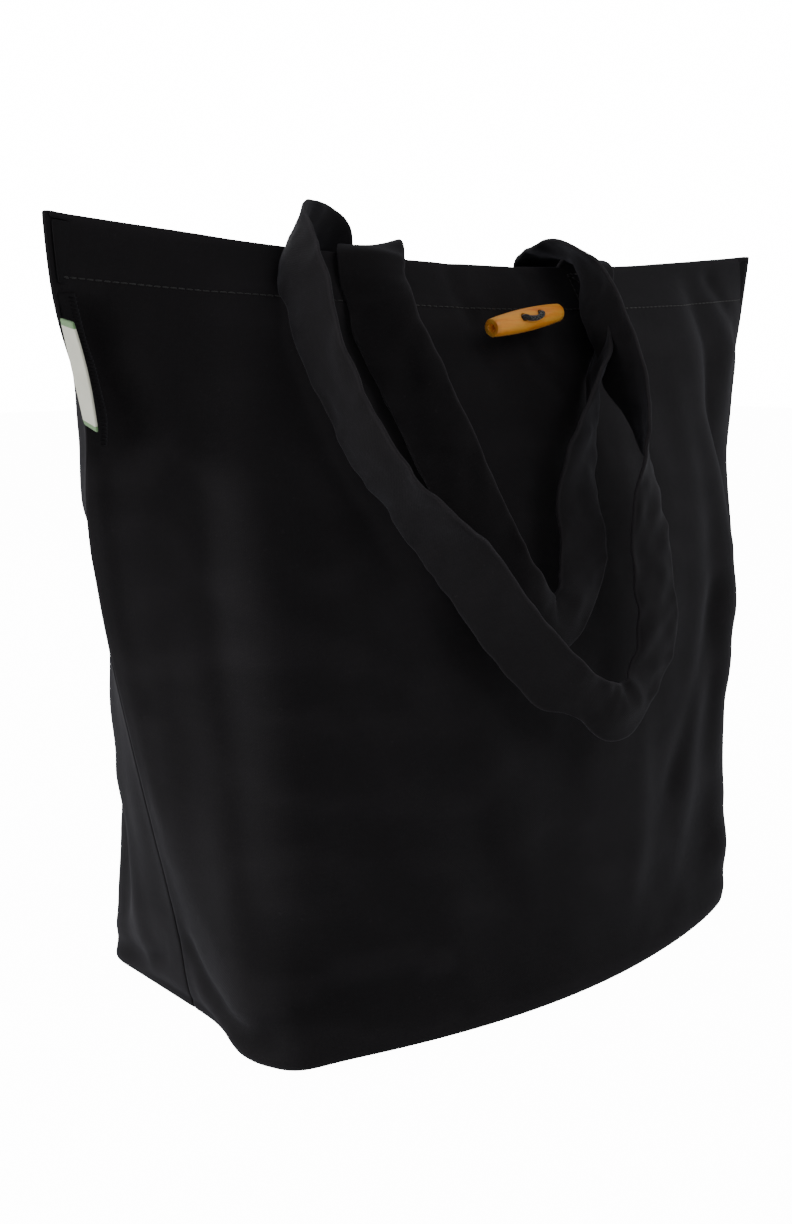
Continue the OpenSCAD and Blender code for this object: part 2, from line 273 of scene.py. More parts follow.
def makeClothGroup():
    # plain weave, slubs, fine fuzz, faded patches, and edges painted lighter: partly rubbed wear, partly a painted
    # highlight
    tree = bpy.data.node_groups.new("woven_cloth", "ShaderNodeTree")
    sockets = {"INPUT": {"Colour": "Color", "Thread": "Float", "Height": "Float", "Fade": "Float", "WearAndHighlight": "Float"},
               "OUTPUT": {"Base Color": "Color", "Roughness": "Float", "Normal": "Vector"}}
    for way, named in sockets.items():
        for name, kind in named.items():
            tree.interface.new_socket(name, in_out=way, socket_type="NodeSocket" + kind)
    source = tree.nodes.new("NodeGroupInput").outputs
    uv, split = clothPlace(tree)
    place = objectPlace(tree)

    # plain weave: over and under alternate in both directions
    waves = [waveOf(tree, calc(tree, "DIVIDE", split[k], source["Thread"]), math.pi) for k in (0, 1)]
    crossing = calc(tree, "MULTIPLY", *waves)
    yarns = calc(tree, "ADD", *[calc(tree, "ABSOLUTE", wave) for wave in waves])
    weave = calc(tree, "MULTIPLY_ADD", crossing, weaveLook["crossing"],
                 calc(tree, "MULTIPLY", yarns, weaveLook["yarn"]))
    # slubs: threads that are a little thicker for a few millimetres
    along, across = weaveLook["slub"]
    slubs = [speckle(tree, stretched(tree, uv, scale), 1, 2) for scale in ((along, across, 1), (across, along, 1))]
    weave = calc(tree, "MULTIPLY_ADD", calc(tree, "ADD", *slubs), weaveLook["slubLift"], weave)

    # soft rumples too small for the mesh
    rumple = speckle(tree, place, weaveLook["rumple"], 5, Roughness=0.55)
    height = calc(tree, "MULTIPLY_ADD", rumple, weaveLook["rumpleLift"], weave)

    # colour: thread shade, faded patches, lint in the weave, and edges painted lighter, partly rubbed wear and partly
    # a painted highlight
    patch = speckle(tree, place, weaveLook["patch"], 4, Distortion=0.4)
    faded = calc(tree, "MULTIPLY", between(tree, patch, weaveLook["patchFrom"], weaveLook["patchTo"]), source["Fade"])
    shade = calc(tree, "MULTIPLY_ADD", weave, 0.35, weaveLook["shade"])
    shade = calc(tree, "ADD", shade, faded)
    lint = between(tree, speckle(tree, uv, weaveLook["lint"], 3), 0.66, 0.74)
    shade = calc(tree, "MULTIPLY_ADD", lint, weaveLook["lintLift"], shade)
    shade = calc(tree, "ADD", shade, calc(tree, "MULTIPLY", edgeToneOf(tree), source["WearAndHighlight"]))
    setInputs(tree.nodes.new("NodeGroupOutput"), {
        "Base Color": tinted(tree, source["Colour"], shade),
        "Roughness": calc(tree, "MULTIPLY_ADD", rumple, 0.12, weaveLook["roughness"]),
        "Normal": bumped(tree, height, weaveLook["bump"], source["Height"]),
    })
    return tree


clothGroup = makeClothGroup()
clothLooks = {
    "sheen": 0.10, "sheenRoughness": 0.45, "sheenTint": (0.85, 0.86, 1.0, 1), "specular": 0.12,
    "canvas": {"Colour": (0.0082, 0.0074, 0.0083, 1), "Thread": 0.00055, "Height": 0.00012, "Fade": 0.35,
               "WearAndHighlight": 0.8},
    "hem": {"Colour": (0.0074, 0.0068, 0.0076, 1), "Thread": 0.00055, "Height": 0.00012, "Fade": 0.35, "WearAndHighlight": 0.8},
    # the strap's folded edges are painted much lighter: partly rubbed wear, partly a painted highlight
    "strap": {"Colour": (0.0100, 0.0091, 0.0101, 1), "Thread": 0.0005, "Height": 0.00016, "Fade": 0.3, "WearAndHighlight": 2.2},
}


def clothMaterial(name, look):
    material, tree, shader = newMaterial(name)
    cloth = addNode(tree, "Group", look, node_tree=clothGroup)
    setInputs(shader, {socket: cloth.outputs[socket] for socket in ("Base Color", "Roughness", "Normal")})
    setInputs(shader, {"Sheen Weight": clothLooks["sheen"], "Sheen Roughness": clothLooks["sheenRoughness"],
                       "Sheen Tint": clothLooks["sheenTint"], "Specular IOR Level": clothLooks["specular"]})
    return material


canvasMat = clothMaterial("black_canvas", clothLooks["canvas"])
hemMat = clothMaterial("black_canvas_hem", clothLooks["hem"])
strapMat = clothMaterial("black_strap_canvas", clothLooks["strap"])

threadLook = {"colour": (0.0055, 0.0052, 0.0058), "light": 1.35, "twist": 900, "roughness": 0.6, "sheen": 0.2}


def threadMaterial():
    # fine slanted plies along the stitch
    material, tree, shader = newMaterial("black_thread")
    plies = addNode(tree, "TexWave", {"Vector": objectPlace(tree), "Scale": threadLook["twist"], "Distortion": 1.5},
                    bands_direction="DIAGONAL").outputs["Fac"]
    dark, light = [(*[c * k for c in threadLook["colour"]], 1) for k in (1, threadLook["light"])]
    setInputs(shader, {"Base Color": blended(tree, plies, dark, light), "Roughness": threadLook["roughness"],
                       "Sheen Weight": threadLook["sheen"], "Normal": bumped(tree, plies, 0.5, 0.0001)})
    return material


cordLook = {"colour": (0.0075, 0.0072, 0.0082), "strands": 4, "pitch": 420, "roughness": 0.75, "sheen": 0.3}


def cordMaterial():
    # crossing strands, from the tube's turn and run
    material, tree, shader = newMaterial("black_braided_cord")
    _, split = clothPlace(tree)
    turn = calc(tree, "MULTIPLY", split[0], cordLook["strands"])
    run = calc(tree, "MULTIPLY", split[1], cordLook["pitch"])
    strands = [waveOf(tree, calc(tree, way, turn, run), 2 * math.pi) for way in ("ADD", "SUBTRACT")]
    braid = calc(tree, "MAXIMUM", *strands)
    shade = calc(tree, "MULTIPLY_ADD", braid, 0.35, 0.9)
    setInputs(shader, {"Base Color": tinted(tree, cordLook["colour"], shade), "Roughness": cordLook["roughness"],
                       "Sheen Weight": cordLook["sheen"], "Normal": bumped(tree, braid, 0.8, 0.0003)})
    return material


woodLook = {
    "shades": {0.3: (0.80, 0.21, 0.020, 1), 0.46: (1.0, 0.37, 0.040, 1), 0.62: (1.0, 0.47, 0.060, 1)},
    "grain": (14, 210, 210), "pores": (160, 2600, 2600), "turn": 10, "burnt": 0.35,
    "roughness": 0.38, "coat": 0.12, "coatRoughness": 0.2,
}


def woodMaterial():
    # long grain with darker pores, burnt a little round the bores, under a thin varnish
    material, tree, shader = newMaterial("varnished_wood")
    place = objectPlace(tree)
    grain = speckle(tree, stretched(tree, place, woodLook["grain"], woodLook["turn"]), 1, 6,
                    Roughness=0.6, Distortion=0.6)
    pores = speckle(tree, stretched(tree, place, woodLook["pores"], woodLook["turn"]), 1, 2)
    ramp = addNode(tree, "ValToRGB", {"Fac": grain})
    stops = ramp.color_ramp.elements
    stops.new(0.5)
    for stop, (position, colour) in zip(stops, woodLook["shades"].items()):
        stop.position, stop.color = position, colour
    burnt = calc(tree, "MULTIPLY", edgeToneOf(tree), woodLook["burnt"])
    shade = calc(tree, "SUBTRACT", calc(tree, "MULTIPLY_ADD", pores, 0.35, 0.83), burnt)
    setInputs(shader, {"Base Color": tinted(tree, ramp.outputs["Color"], shade), "Roughness": woodLook["roughness"],
                       "Coat Weight": woodLook["coat"], "Coat Roughness": woodLook["coatRoughness"],
                       "Normal": bumped(tree, pores, 0.25, 0.0001)})
    return material


labelLook = {"tape": (0.74, 0.74, 0.62, 1), "edge": (0.16, 0.30, 0.13, 1), "edgeFrom": 0.0022, "edgeTo": 0.0402,
             "rib": 0.0007, "pick": 0.0005, "soil": 90, "roughness": 0.8, "sheen": 0.2}


def labelMaterial():
    # woven tape with fine cross ribs and a thin coloured edge
    material, tree, shader = newMaterial("woven_label")
    uv, split = clothPlace(tree)
    ribs = waveOf(tree, split[1], 2 * math.pi / labelLook["rib"])
    picks = waveOf(tree, split[0], 2 * math.pi / labelLook["pick"])
    weave = calc(tree, "MULTIPLY", ribs, picks)
    edge = calc(tree, "MAXIMUM", calc(tree, "LESS_THAN", split[1], labelLook["edgeFrom"]),
                calc(tree, "GREATER_THAN", split[1], labelLook["edgeTo"]))
    shade = calc(tree, "MULTIPLY_ADD", speckle(tree, uv, labelLook["soil"], 4), 0.25, 0.84)
    shade = calc(tree, "MULTIPLY_ADD", weave, 0.05, shade)
    colour = blended(tree, edge, labelLook["tape"], labelLook["edge"])
    setInputs(shader, {"Base Color": tinted(tree, colour, shade), "Roughness": labelLook["roughness"],
                       "Sheen Weight": labelLook["sheen"], "Normal": bumped(tree, weave, 0.4, 0.0001)})
    return material


threadMat, cordMat, woodMat, labelMat = threadMaterial(), cordMaterial(), woodMaterial(), labelMaterial()
print("materials made")

# The body of the bag: a lofted shell, settled as cloth. Sizes in metres
bag = {
    "baseWidth": 0.310, "baseDepth": 0.161, "mouthWidth": 0.460, "height": 0.365,
    "sag": 0.013, "lean": 0.024, "belly": 0.021, "corner": 0.014, "push": 0.001, "roll": 0.004,
    "baseBow": {-1: 0.029, 1: 0.009}, "mouthBow": {-1: 0.010, 1: 0.028},
    "toe": -0.0010, "toeSpread": 0.024, "heel": 0.0115, "heelAt": 0.058, "heelSpread": 0.027,
    "hem": 0.026, "cloth": 0.0013, "fold": 0.0015, "inset": 0.025, "columns": 104, "baseRows": 7,
    # ridges and the mouth's fold are painted lighter: partly rubbed wear, partly a painted highlight
    "bellyShare": 0.177, "ridgeWearAndHighlight": 1.6, "ridgeMost": 0.45, "mouthWearAndHighlight": 0.5,
}
halfDepth = bag["baseDepth"] / 2
outline = bag["baseWidth"] + bag["baseDepth"]
hemStart = 1 - bag["hem"] / bag["height"]
up = np.array([0, 0, 1])


def baseRaw(s, bow):
    # the base's outline with sharp corners, at a distance from the left seam
    x = s - halfDepth - bag["baseWidth"] / 2
    r = outline - s
    half = bag["baseWidth"] / 2
    left = np.stack([-half - bag["push"] * (1 - (s / halfDepth) ** 2), -s], -1)
    front = np.stack([x, -halfDepth - bow * (1 - (x / half) ** 2)], -1)
    right = np.stack([half + bag["push"] * (1 - (r / halfDepth) ** 2), -r], -1)
    onLeft = (s < halfDepth)[..., None]
    onFront = (s < halfDepth + bag["baseWidth"])[..., None]
    return np.where(onLeft, left, np.where(onFront, front, right))


def basePoint(u, bow):
    # a weighted mean of near places rounds the corners
    weights = [1, 2, 3, 4, 3, 2, 1]
    return sum(w * baseRaw(u * outline + (k - 3) * bag["corner"] / 3, bow)
               for k, w in enumerate(weights)) / sum(weights)


def loft(side, u, t):
    # places on the front or back wall; u runs from left to right and t from floor to mouth
    bow = bag["baseBow"][side]
    b = basePoint(u, bow)
    d = basePoint(u + 0.01, bow) - basePoint(u - 0.01, bow)
    n = np.stack([d[..., 1], -d[..., 0]], -1)
    n /= np.linalg.norm(n, axis=-1, keepdims=True)
    k = bag["belly"] * np.power(t, 1.5) * (1 - t) / bag["bellyShare"] * (0.35 + 0.65 * np.abs(n[..., 1]))
    arch = np.sin(np.pi * u)
    x = b[..., 0] * (1 - t) + (u - 0.5) * bag["mouthWidth"] * t + n[..., 0] * k
    y = b[..., 1] * (1 - t) - bag["mouthBow"][side] * arch * t + n[..., 1] * k
    z = bag["height"] * t - bag["sag"] * arch * t ** 4
    # the wall turns under with a small roll where it meets the floor
    rise = np.clip(z / bag["roll"], 0, 1)
    tuck = bag["roll"] * (1 - np.sqrt(1 - (1 - rise) ** 2))
    return np.stack([x - n[..., 0] * tuck, -side * (y - n[..., 1] * tuck) - bag["lean"] * t, z], -1)


# Folds and dents: polylines over the wall in (u, t), depth in mm (plus is outwards), half-width in mm
folds = {
    -1: [
        ([(0.02, 0.115), (0.05, 0.075), (0.09, 0.052), (0.15, 0.03)], -3.2, 4.0),
        ([(0.03, 0.05), (0.08, 0.022), (0.13, 0.012)], 1.6, 4.0),
        ([(0.15, 0.05), (0.20, 0.075), (0.26, 0.08), (0.33, 0.07)], -4.5, 6.5),
        ([(0.14, 0.11), (0.23, 0.12), (0.32, 0.1)], 1.6, 10.0),
        ([(0.05, 0.45), (0.18, 0.465), (0.29, 0.45)], -1.6, 7.0),
        ([(0.07, 0.50), (0.18, 0.51), (0.26, 0.50)], 1.2, 10.0),
        ([(0.19, 0.30), (0.27, 0.275), (0.38, 0.25)], -1.5, 7.0),
        ([(0.035, 0.88), (0.045, 0.83), (0.065, 0.77)], -8.0, 12.0),
        ([(0.08, 0.72), (0.09, 0.60), (0.10, 0.48)], 4.0, 20.0),
        ([(0.015, 0.72), (0.012, 0.50), (0.02, 0.30)], 2.2, 6.0),
        ([(0.90, 0.97), (0.93, 0.93), (0.97, 0.90)], -2.4, 6.0),
        ([(0.69, 0.895), (0.78, 0.875), (0.93, 0.862)], 2.6, 8.0),
        ([(0.70, 0.80), (0.82, 0.77), (0.93, 0.74)], -2.0, 14.0),
        ([(0.92, 0.84), (0.91, 0.70), (0.89, 0.50)], 13.0, 34.0),
        ([(0.88, 0.52), (0.86, 0.40), (0.84, 0.10)], 4.5, 32.0),
        ([(0.06, 0.925), (0.94, 0.925)], -0.5, 3.0),
        ([(0.82, 0.50), (0.80, 0.30), (0.80, 0.10)], 2.4, 9.0),
        ([(0.79, 0.50), (0.74, 0.37), (0.69, 0.24)], -2.6, 8.0),
        ([(0.85, 0.42), (0.88, 0.25), (0.86, 0.10)], -2.4, 10.0),
        ([(0.45, 1.0), (0.445, 0.96), (0.455, 0.92)], -1.8, 5.0),
        ([(0.55, 1.0), (0.565, 0.98), (0.55, 0.945)], -1.2, 3.5),
        ([(0.52, 0.90), (0.535, 0.865), (0.555, 0.835)], -1.7, 4.0),
        ([(0.53, 0.91), (0.57, 0.895), (0.61, 0.885)], -1.7, 4.0),
        ([(0.48, 0.90), (0.46, 0.86)], -1.2, 4.0),
        ([(0.5, 0.93), (0.5, 0.925)], -2.2, 12.0),
        ([(0.30, 0.66), (0.42, 0.60), (0.50, 0.50)], -1.6, 16.0),
        ([(0.56, 0.42), (0.66, 0.30), (0.70, 0.16)], -1.5, 14.0),
        ([(0.62, 0.70), (0.66, 0.52)], 1.8, 18.0),
        ([(0.36, 0.16), (0.52, 0.12), (0.66, 0.14)], 1.4, 12.0),
    ],
    1: [
        ([(0.10, 0.52), (0.10, 0.34)], 4.5, 28.0),
        ([(0.03, 0.88), (0.035, 0.68)], 7.5, 12.0),
        ([(0.085, 0.32), (0.08, 0.16), (0.075, 0.05)], 2.2, 7.0),
        ([(0.12, 0.30), (0.13, 0.15), (0.12, 0.06)], -2.4, 9.0),
        ([(0.09, 0.56), (0.10, 0.44)], 3.0, 22.0),
        ([(0.20, 0.62), (0.36, 0.54), (0.52, 0.56)], -2.2, 14.0),
        ([(0.48, 0.36), (0.64, 0.28), (0.80, 0.31)], -2.0, 11.0),
        ([(0.22, 0.24), (0.34, 0.18), (0.46, 0.2)], -1.8, 9.0),
        ([(0.70, 0.82), (0.78, 0.70), (0.82, 0.55)], -2.2, 12.0),
        ([(0.30, 0.90), (0.33, 0.80)], -1.6, 8.0),
        ([(0.86, 0.12), (0.92, 0.05), (0.97, 0.04)], -2.4, 5.0),
        ([(0.04, 0.07), (0.10, 0.04), (0.16, 0.03)], -2.2, 5.0),
        ([(0.93, 0.80), (0.92, 0.66)], 3.0, 22.0),
        ([(0.55, 0.14), (0.70, 0.10), (0.84, 0.12)], 1.4, 10.0),
    ],
}
rumples = {"broad": 3.6, "soft": 1.0, "sharp": -2.0, "underHem": 0.75}  # mm


def foldField(side, u, t):
    # how far the folds and soft rumples push the wall outwards, in metres
    x, z = u * outline * 1000, t * bag["height"] * 1000
    push = np.zeros_like(u)
    for line, depth, width in folds[side]:
        near = np.full_like(u, 1e9)
        pts = [(a * outline * 1000, b * bag["height"] * 1000) for a, b in line]
        for (ax, az), (bx, bz) in zip(pts[:-1], pts[1:]):
            dx, dz = bx - ax, bz - az
            w = np.clip(((x - ax) * dx + (z - az) * dz) / (dx * dx + dz * dz + 1e-9), 0, 1)
            near = np.minimum(near, np.hypot(x - ax - w * dx, z - az - w * dz))
        push += depth * np.exp(-(near / width) ** 2)
    soft = np.zeros_like(u)
    for index in np.ndindex(u.shape):
        a, b = x[index], z[index]
        soft[index] = (ripple(a / 75, b / 62, side * 3.1) * rumples["broad"]
                       + ripple(a / 30, b / 26, side * 7.7) * rumples["soft"]
                       + abs(ripple(a / 60 + b / 50, b / 38 - a / 90, side * 5.3)) * rumples["sharp"])
    soft *= smoothstep(0.0, 0.12, t) * (1 - rumples["underHem"] * smoothstep(0.88, 0.94, t))
    return (push + soft) / 1000


def gridNormals(grid, side):
    n = np.cross(np.gradient(grid, axis=1), np.gradient(grid, axis=0)) * -side
    return n / np.maximum(np.linalg.norm(n, axis=-1, keepdims=True), 1e-12)


def bump(x, at, spread):
    return np.exp(-((x - at) / spread) ** 2)


wallHeights = np.concatenate([
    [0.0, 0.0025, 0.006, 0.0115, 0.018],
    np.linspace(0.029, hemStart - 0.006, 56),
    np.linspace(hemStart, 1, 9),
])
rows, columns = len(wallHeights), bag["columns"]
seams = (0, columns)
uGrid, tGrid = np.meshgrid(np.linspace(0, 1, columns + 1), wallHeights)
seamEase = smoothstep(0, 0.03, uGrid) * smoothstep(0, 0.03, 1 - uGrid)
floorEase = smoothstep(0.0, 0.03, tGrid)
walls = {}
for side in sides:
    grid = loft(side, uGrid, tGrid)
    push = foldField(side, uGrid, tGrid) * (0.35 + 0.65 * seamEase) * floorEase
    if side == -1:
        # the front corners of the base, and the foot of the left end behind them
        low = bump(tGrid, 0, 0.25)
        push += bag["toe"] * bump(uGrid * outline, halfDepth, bag["toeSpread"]) * low
        push += bag["toe"] * 0.5 * bump(uGrid * outline, outline - halfDepth, bag["toeSpread"]) * low
        push += bag["heel"] * bump(uGrid * outline, bag["heelAt"], bag["heelSpread"]) * bump(tGrid, 0, 0.2)
    normal = gridNormals(grid, side)
    normal[..., 2] *= 0.3
    walls[side] = grid + normal * push[..., None]
# beside the label the left seam is drawn in between the two panels
seamDip = {"at": 0.79, "spread": 0.085, "width": 0.013, "in": 0.0050, "forward": 0.0066}
dip = bump(tGrid, seamDip["at"], seamDip["spread"]) * bump(uGrid * outline, 0, seamDip["width"])
for side in sides:
    walls[side] += dip[..., None] * np.array([seamDip["in"], -seamDip["forward"], 0])
for c in seams:
    walls[-1][:, c] = walls[1][:, c] = (walls[-1][:, c] + walls[1][:, c]) / 2

settling = {
    "frames": 26, "quality": 6, "mass": 0.35, "shrink": -0.009, "held": 0.045, "hemHeld": 0.55, "seamHeld": 0.5,
    "driftPasses": 60, "driftTaken": 0.9, "softPasses": 4, "buckles": 0.5, "cap": 0.009,
}


def smoothed(field):
    # each place takes a share of its neighbours round the bag
    return (np.roll(field, 1, 1) + np.roll(field, -1, 1) + field * 2) / 4


def sharpPart(shift, table):
    # takes the broad drift out of the cloth's movement, so that only its buckles are kept
    field = shift[table]
    wide = field.copy()
    for _ in range(settling["driftPasses"]):
        wide = smoothed(wide)
        wide = (np.concatenate([wide[:1], wide[:-1]]) + np.concatenate([wide[1:], wide[-1:]]) + wide * 2) / 4
    kept = field - wide * settling["driftTaken"]
    for _ in range(settling["softPasses"]):
        kept = smoothed(kept)
    out = shift.copy()
    out[table] = kept * settling["buckles"]
    return out


def holdAt(r, c):
    # how firmly a place is pinned: base, hem and seams are held and the wall is nearly free
    t = wallHeights[r]
    hold = settling["held"]
    if t <= 0.03:
        hold = 1.0 - 0.9 * t / 0.03
    if t >= hemStart:
        hold = settling["hemHeld"]
    if r == rows - 1:
        hold = 1.0
    if c in seams:
        hold = max(hold, settling["seamHeld"])
    return max(hold, settling["held"])


def settle(walls):
    # the walls buckle a little, as slightly oversized cloth held by its seams, hem and base
    points, index, weights = [], {}, []
    for side in sides:
        for r, c in np.ndindex(rows, columns + 1):
            if side == 1 and c in seams:
                index[side, r, c] = index[-1, r, c]
                continue
            index[side, r, c] = len(points)
            points.append(walls[side][r, c])
            weights.append(holdAt(r, c))
    faces = []
    for side in sides:
        for r, c in np.ndindex(rows - 1, columns):
            quad = [index[side, a, b] for a, b in ((r, c), (r, c + 1), (r + 1, c + 1), (r + 1, c))]
            faces.append(quad if side == -1 else quad[::-1])
    mesh = bpy.data.meshes.new("cloth_run")
    mesh.from_pydata([tuple(p) for p in points], [], faces)
    run = bpy.data.objects.new("cloth_run", mesh)
    collection.objects.link(run)
    group = run.vertex_groups.new(name="held")
    for i, weight in enumerate(weights):
        group.add([i], weight, "REPLACE")
    cloth = run.modifiers.new("cloth", "CLOTH")
    values = {
        "quality": settling["quality"], "mass": settling["mass"], "shrink_min": settling["shrink"],
        "tension_stiffness": 30, "compression_stiffness": 18, "shear_stiffness": 12, "bending_stiffness": 3.0,
        "tension_damping": 12, "compression_damping": 12, "shear_damping": 10, "bending_damping": 1.0,
        "vertex_group_mass": "held", "pin_stiffness": 1.2,
    }
    for name, value in values.items():
        setattr(cloth.settings, name, value)
    cloth.collision_settings.use_collision = False
    cloth.collision_settings.use_self_collision = False
    cloth.point_cache.frame_start = 1
    cloth.point_cache.frame_end = settling["frames"]
    for f in range(1, settling["frames"] + 1):
        scene.frame_set(f)
    settled = run.evaluated_get(bpy.context.evaluated_depsgraph_get()).data
    moved = np.array([v.co[:] for v in settled.vertices])
    scene.frame_set(1)
    bpy.data.objects.remove(run)
    bpy.data.meshes.remove(mesh)
    start = np.array(points)
    around = [(-1, c) for c in range(columns)] + [(1, c) for c in range(columns, 0, -1)]
    shift = sharpPart(moved - start, np.array([[index[side, r, c] for side, c in around] for r in range(rows)]))
    size = np.linalg.norm(shift, axis=1, keepdims=True)
    shift *= np.minimum(1, settling["cap"] / np.maximum(size, 1e-9))
    moved = start + shift
    print("cloth moved", round(float(size.mean()) * 1000, 2), "mm on average, at most",
          round(float(size.max()) * 1000, 2))
    return {side: np.array([[moved[index[side, r, c]] for c in range(columns + 1)] for r in range(rows)])
            for side in sides}


walls = settle(walls)
for side in sides:
    walls[side][..., 2] = np.maximum(walls[side][..., 2], 0.0)
wallNormals = {side: gridNormals(walls[side], side) for side in sides}
for c in seams:
    # at a seam both panels' normals turn towards the end of the bag
    seamOut = np.zeros((rows, 3))
    seamOut[:, 0] = -1 if c == 0 else 1
    for side in sides:
        mix = wallNormals[side][:, c] * 0.5 + seamOut * 0.5
        wallNormals[side][:, c] = mix / np.linalg.norm(mix, axis=1, keepdims=True)
print("walls settled")


def onWall(side, u, t, depth):
    # a place so deep inside the settled wall's outer face, and the outward normal there
    r = np.interp(t, wallHeights, np.arange(rows))
    c = np.clip(u, 0, 1) * columns
    r0, c0 = int(min(r, rows - 2)), int(min(c, columns - 1))
    a, b = r - r0, c - c0

    def mixed(g):
        return ((g[r0, c0] * (1 - b) + g[r0, c0 + 1] * b) * (1 - a)
                + (g[r0 + 1, c0] * (1 - b) + g[r0 + 1, c0 + 1] * b) * a)
    n = unit(mixed(wallNormals[side]))
    return mixed(walls[side]) - n * depth, n


def mouthU(x):
    return 0.5 + x / bag["mouthWidth"]


def makePanel(side, name):
    wall, normal = walls[side], wallNormals[side]
    widths = np.linspace(0, 1, columns + 1)
    # base: from the seam under the middle out to the foot of the wall
    centre = np.stack([(widths - 0.5) * (bag["baseWidth"] - 2 * bag["inset"]),
                       np.zeros(columns + 1), np.zeros(columns + 1)], -1)
    base = [centre * (1 - w) + wall[0] * w for w in np.linspace(0, 1, bag["baseRows"] + 1)[:-1]]
    # the hem's fold over the top edge
    top = []
    for angle in (35, 70, 110, 145, 180):
        a = math.radians(angle)
        top.append(wall[-1] - normal[-1] * bag["fold"] * (1 - math.cos(a)) + up * bag["fold"] * math.sin(a))
    top.append(top[-1] - up * 0.0012)
    full = np.array(base + list(wall) + top)
    across = widths * outline
    along = np.concatenate([
        np.linspace(-halfDepth, 0, bag["baseRows"] + 1)[:-1],
        wallHeights * bag["height"],
        bag["height"] + np.arange(1, 7) * 0.001,
    ])
    if side == 1:
        full, across = full[:, ::-1], across[::-1]
    obj = clothSheet(name, full, across, along, canvasMat)
    # the mouth's fold and the sharp ridges are painted lighter: partly rubbed wear, partly a painted highlight
    spread = np.gradient(np.gradient(full, axis=0), axis=0)
    curve = -(spread * gridNormals(full, -1)).sum(-1) * 1000
    edge_tone = np.clip(curve * bag["ridgeWearAndHighlight"], 0, bag["ridgeMost"]) * (full[..., 2] > 0.004)
    edge_tone[-7:-3] = bag["mouthWearAndHighlight"]
    setEdgeTone(obj, edge_tone)
    thicken(obj, bag["cloth"])
    subdivide(obj)
    standFor(obj, name, "bag")
    return obj


frontPanel = makePanel(-1, "front_panel")
backPanel = makePanel(1, "back_panel")

hemLook = {"depth": 0.00165, "thickness": 0.0011, "ends": (0.004, 0.996), "step": 0.0045}


def makeHem(side, name):
    heights = np.concatenate([[hemStart, hemStart + 0.002], np.linspace(hemStart + 0.01, 0.990, 7), [0.9955]])
    low, high = hemLook["ends"]
    across = np.linspace(low, high, int((high - low) * outline / hemLook["step"]))[::-side]
    grid = np.array([[onWall(side, u, t, hemLook["depth"])[0] for u in across] for t in heights])
    obj = clothSheet(name, grid, across * outline + 0.11, heights * bag["height"] + 0.05, hemMat)
    thicken(obj, hemLook["thickness"])
    subdivide(obj)
    setEdgeTone(obj, np.zeros(len(obj.data.vertices)))
    standFor(obj, name, "bag")


makeHem(-1, "front_hem")
makeHem(1, "back_hem")
print("panels and hems made")

stitchRings = ((0.0, 0.35, 0.9), (0.15, 0.85, 0.35), (0.5, 1.0, 0.0), (0.85, 0.85, 0.35), (1.0, 0.35, 0.9))


def stitchRow(bm, places, length, gap, radius):
    # short thread capsules along a line of places and normals, dipping into the cloth at their ends
    step = 0.0005
    line = resample(np.array([[*p, *n] for p, n in places]), step)
    pts, nrm = line[:, :3], line[:, 3:]
    total = (len(pts) - 1) * step
    start = 0.0
    while start + length < total + 1e-6:
        rings = []
        for w, scale, dip in stitchRings:
            at = (start + w * length) / step
            i = min(int(at), len(pts) - 2)
            n = unit(nrm[i])
            s = np.cross(unit(pts[i + 1] - pts[i]), n)
            p = pts[i] * (1 - at + i) + pts[i + 1] * (at - i) + n * radius * (0.55 - dip)
            rings.append(circle(bm, p, s, n, radius * scale, 6))
        skin(bm, rings)
        start += length + gap


hemThread = {"radius": 0.00032, "length": 0.0031, "gap": 0.0005, "rowHeight": 0.0025, "ends": (0.012, 0.988)}
for side, name in ((-1, "front_hem_stitching"), (1, "back_hem_stitching")):
    bm = bmesh.new()
    t = hemStart + hemThread["rowHeight"] / bag["height"]
    for depth, face in ((0.0, 1), (bag["cloth"] + 0.0015, -1)):
        places = [onWall(side, u, t, depth) for u in np.linspace(*hemThread["ends"], 220)]
        stitchRow(bm, [(p, n * face) for p, n in places], hemThread["length"], hemThread["gap"], hemThread["radius"])
    standFor(newObject(name, bm, threadMat), name, "bag")

handles = {"x": 0.070, "width": 0.030, "thickness": 0.0022, "tailThickness": 0.0020, "tailDepth": 0.0041}
tack = {"width": 0.022, "height": 0.017, "up": 0.55, "stitch": 0.0024, "gap": 0.0005, "radius": 0.00032}
tackBase = hemStart + tack["up"] * (1 - hemStart)


def wallLine(side, x, start, end):
    # places along a line given in metres from the middle of a handle's end
    return [onWall(side, mouthU(x + start[0] + (end[0] - start[0]) * w),
                   tackBase + (start[1] + (end[1] - start[1]) * w) / bag["height"], 0) for w in np.linspace(0, 1, 9)]


for side, word in ((-1, "front"), (1, "back")):
    for x, hand in ((-handles["x"], "left"), (handles["x"], "right")):
        w, h = tack["width"] / 2, tack["height"] / 2
        bm = bmesh.new()
        # a box with a cross in it
        for start, end in (((-w, -h), (w, -h)), ((w, -h), (w, h)), ((w, h), (-w, h)), ((-w, h), (-w, -h)),
                           ((-w, -h), (w, h)), ((-w, h), (w, -h))):
            stitchRow(bm, wallLine(side, x, start, end), tack["stitch"], tack["gap"], tack["radius"])
        name = word + "_" + hand + "_tack"
        standFor(newObject(name, bm, threadMat), name, "bag")
print("stitching made")

crumple = {
    "wave": 0.0030, "pucker": 0.0022, "ridge": 0.0016, "fine": 0.0006, "slip": 0.0026, "fray": 0.0011,
    # the last two settings paint the strap's folded edges lighter: partly rubbed wear, partly a painted highlight
    "crease": 0.0012, "edge": 0.0011, "edgeWearAndHighlight": 0.55, "wornAndLitPoints": (0, 8, 9, 10, 18, 19),
}


